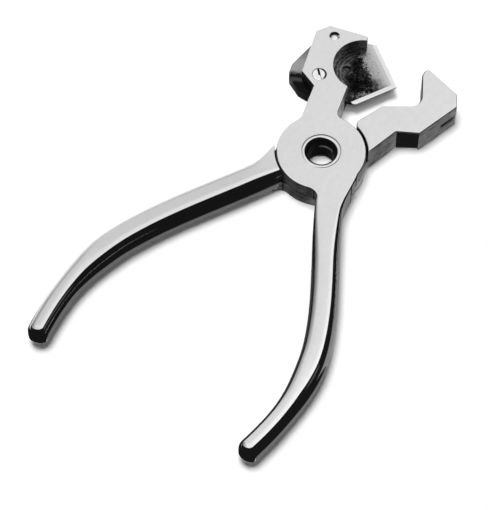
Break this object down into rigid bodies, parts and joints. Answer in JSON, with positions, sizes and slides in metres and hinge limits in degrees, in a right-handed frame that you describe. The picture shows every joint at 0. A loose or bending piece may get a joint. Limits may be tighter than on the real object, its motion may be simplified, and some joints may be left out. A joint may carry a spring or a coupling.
{
  "type": "plier-type tube cutter",
  "caption": "Plier-type tube cutter with two chromed forged halves on a hollow rivet, a clamped flat blade in one jaw and a slotted vee seat in the other.",
  "frame": {"origin": "on the pivot axis, half-way through the thickness, at the lap plane between the two discs", "axes": "+Z along the pivot axis, up from the face the tool lies on; +Y along the tool's midline towards the jaws; +X towards the anvil jaw"},
  "size_m": [0.0969, 0.1698, 0.0114],
  "materials": {
    "chromed_steel": "polished handles, satin-ground jaw faces",
    "rivet_steel": "turned, lightly polished",
    "blade_steel": "dark mottled flat with bright ground edges",
    "blackened_steel": "glossy black",
    "screw_steel": "bright"
  },
  "bodies": {
    "blade_side": {"blade_half": "chromed_steel", "pivot_rivet": "rivet_steel", "cutting_blade": "blade_steel", "clamp_block": "blackened_steel", "clamp_screw": "screw_steel", "locating_pin": "screw_steel"},
    "anvil_side": {"anvil_half": "chromed_steel"}
  },
  "joints": [
    {"name": "pivot", "type": "hinge", "parent": "blade_side", "child": "anvil_side", "pos_m": [0, 0, 0], "axis": [0, 0, 1], "range_deg": [-40, 23]}
  ]
}
